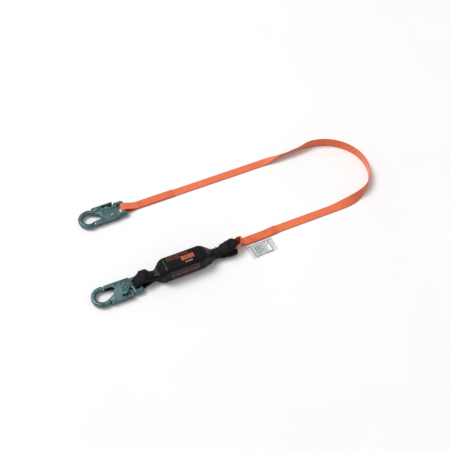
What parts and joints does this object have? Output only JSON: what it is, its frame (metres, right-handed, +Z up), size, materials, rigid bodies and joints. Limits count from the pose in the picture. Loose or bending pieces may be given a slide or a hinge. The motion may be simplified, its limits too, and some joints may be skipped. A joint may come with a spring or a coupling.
{
  "type": "shock absorbing lanyard",
  "caption": "Fall-arrest lanyard: a webbing strap with a self-locking snap hook at each end and a shrink-wrapped tear-webbing shock pack in line beside the harness hook.",
  "frame": {"origin": "the centre of the harness hook's throat, on its mid-plane, 9.5 mm above the floor", "axes": "+X along the two straight runs of webbing towards the bend, +Z up from the floor"},
  "size_m": [0.8718, 0.3332, 0.0463],
  "materials": {
    "zinc_forging": "zinc plated and passivated, satin",
    "zinc_sheet": "zinc plated sheet, satin",
    "rivet_steel": "peened, satin",
    "spring_steel": "music wire",
    "orange_webbing": "woven polyester webbing",
    "stitch_thread": "bonded polyester thread",
    "black_webbing": "woven polyester webbing",
    "shrink_film": "shrunk film, wrinkled",
    "label_print": "printed label",
    "tear_web": "woven nylon",
    "clear_vinyl": "clear flexible vinyl",
    "card_paper": "printed card"
  },
  "bodies": {
    "harness_hook": {"harness_hook_body": "zinc_forging", "harness_gate_rivet": "rivet_steel", "harness_lock_rivet": "rivet_steel", "harness_gate_spring": "spring_steel", "harness_lock_spring": "spring_steel"},
    "harness_gate": {"harness_gate": "zinc_sheet", "harness_gate_cross_pin": "rivet_steel"},
    "harness_lever": {"harness_lock_lever": "zinc_sheet"},
    "anchor_hook": {"anchor_hook_body": "zinc_forging", "anchor_gate_rivet": "rivet_steel", "anchor_lock_rivet": "rivet_steel", "anchor_gate_spring": "spring_steel", "anchor_lock_spring": "spring_steel"},
    "anchor_gate": {"anchor_gate": "zinc_sheet", "anchor_gate_cross_pin": "rivet_steel"},
    "anchor_lever": {"anchor_lock_lever": "zinc_sheet"},
    "pack": {"pack_cover": "shrink_film", "pack_label": "label_print", "tear_webbing": "tear_web", "tear_stitching": "stitch_thread", "harness_loop": "black_webbing", "harness_loop_sleeve": "black_webbing", "lanyard_loop": "black_webbing", "lanyard_loop_sleeve": "black_webbing"},
    "pack_run": {"webbing_pack_run": "orange_webbing", "pack_end_stitching": "stitch_thread", "label_tether": "clear_vinyl"},
    "bend_1": {"webbing_bend_1": "orange_webbing"},
    "bend_2": {"webbing_bend_2": "orange_webbing"},
    "bend_3": {"webbing_bend_3": "orange_webbing"},
    "bend_4": {"webbing_bend_4": "orange_webbing"},
    "bend_5": {"webbing_bend_5": "orange_webbing"},
    "bend_6": {"webbing_bend_6": "orange_webbing"},
    "bend_7": {"webbing_bend_7": "orange_webbing"},
    "anchor_run": {"webbing_anchor_run": "orange_webbing", "anchor_end_stitching": "stitch_thread"},
    "label": {"label_pouch": "clear_vinyl", "label_card": "card_paper", "label_booklet": "card_paper"}
  },
  "joints": [
    {"name": "harness_hook_swing", "type": "hinge", "parent": "pack", "child": "harness_hook", "pos_m": [0.09849, -0.00172, 0], "axis": [0.0175, 0.9998, 0], "range_deg": [0, 60]},
    {"name": "harness_gate_hinge", "type": "hinge", "parent": "harness_hook", "child": "harness_gate", "pos_m": [0.06223, 0.01292, 0], "axis": [0, 0, 1], "range_deg": [0, 24], "deforming": ["harness_gate_spring"]},
    {"name": "harness_lever_hinge", "type": "hinge", "parent": "harness_hook", "child": "harness_lever", "pos_m": [0.02365, -0.02042, 0], "axis": [0, 0, 1], "range_deg": [0, 6], "deforming": ["harness_lock_spring"]},
    {"name": "anchor_hook_swing", "type": "hinge", "parent": "anchor_run", "child": "anchor_hook", "pos_m": [0.152, 0.256, 0], "axis": [0, 1, 0], "range_deg": [0, 60]},
    {"name": "anchor_gate_hinge", "type": "hinge", "parent": "anchor_hook", "child": "anchor_gate", "pos_m": [0.1155, 0.242, 0], "axis": [0, 0, -1], "range_deg": [0, 24], "deforming": ["anchor_gate_spring"]},
    {"name": "anchor_lever_hinge", "type": "hinge", "parent": "anchor_hook", "child": "anchor_lever", "pos_m": [0.0775, 0.276, 0], "axis": [0, 0, -1], "range_deg": [0, 6], "deforming": ["anchor_lock_spring"]},
    {"name": "lanyard_link", "type": "hinge", "parent": "pack", "child": "pack_run", "pos_m": [0.368, 0.008, 0.007], "axis": [-0.1564, 0.9877, 0], "range_deg": [-60, 0]},
    {"name": "webbing_bend_hinge_1", "type": "hinge", "parent": "pack_run", "child": "bend_1", "pos_m": [0.74516, 0.02088, 0.0032], "axis": [0, 0, -1], "range_deg": [0, 22.5]},
    {"name": "webbing_bend_hinge_2", "type": "hinge", "parent": "bend_1", "child": "bend_2", "pos_m": [0.78795, 0.03861, 0.0032], "axis": [0, 0, -1], "range_deg": [0, 22.5]},
    {"name": "webbing_bend_hinge_3", "type": "hinge", "parent": "bend_2", "child": "bend_3", "pos_m": [0.82069, 0.07135, 0.0032], "axis": [0, 0, -1], "range_deg": [0, 22.5]},
    {"name": "webbing_bend_hinge_4", "type": "hinge", "parent": "bend_3", "child": "bend_4", "pos_m": [0.83842, 0.11414, 0.0032], "axis": [0, 0, -1], "range_deg": [0, 22.5]},
    {"name": "webbing_bend_hinge_5", "type": "hinge", "parent": "bend_4", "child": "bend_5", "pos_m": [0.83842, 0.16046, 0.0032], "axis": [0, 0, -1], "range_deg": [0, 22.5]},
    {"name": "webbing_bend_hinge_6", "type": "hinge", "parent": "bend_5", "child": "bend_6", "pos_m": [0.82069, 0.20325, 0.0032], "axis": [0, 0, -1], "range_deg": [0, 22.5]},
    {"name": "webbing_bend_hinge_7", "type": "hinge", "parent": "bend_6", "child": "bend_7", "pos_m": [0.78795, 0.236, 0.0032], "axis": [0, 0, -1], "range_deg": [0, 22.5]},
    {"name": "webbing_bend_hinge_8", "type": "hinge", "parent": "bend_7", "child": "anchor_run", "pos_m": [0.74516, 0.25372, 0.0032], "axis": [0, 0, -1], "range_deg": [0, 22.5]},
    {"name": "label_flap", "type": "hinge", "parent": "pack_run", "child": "label", "pos_m": [0.44, -0.001, -0.009], "axis": [-0.9997, -0.0262, 0], "range_deg": [0, 60]}
  ],
  "couplings": [
    {"joint": "harness_lever_hinge", "follows": "harness_gate_hinge", "ratio": 0.25},
    {"joint": "anchor_lever_hinge", "follows": "anchor_gate_hinge", "ratio": 0.25}
  ]
}
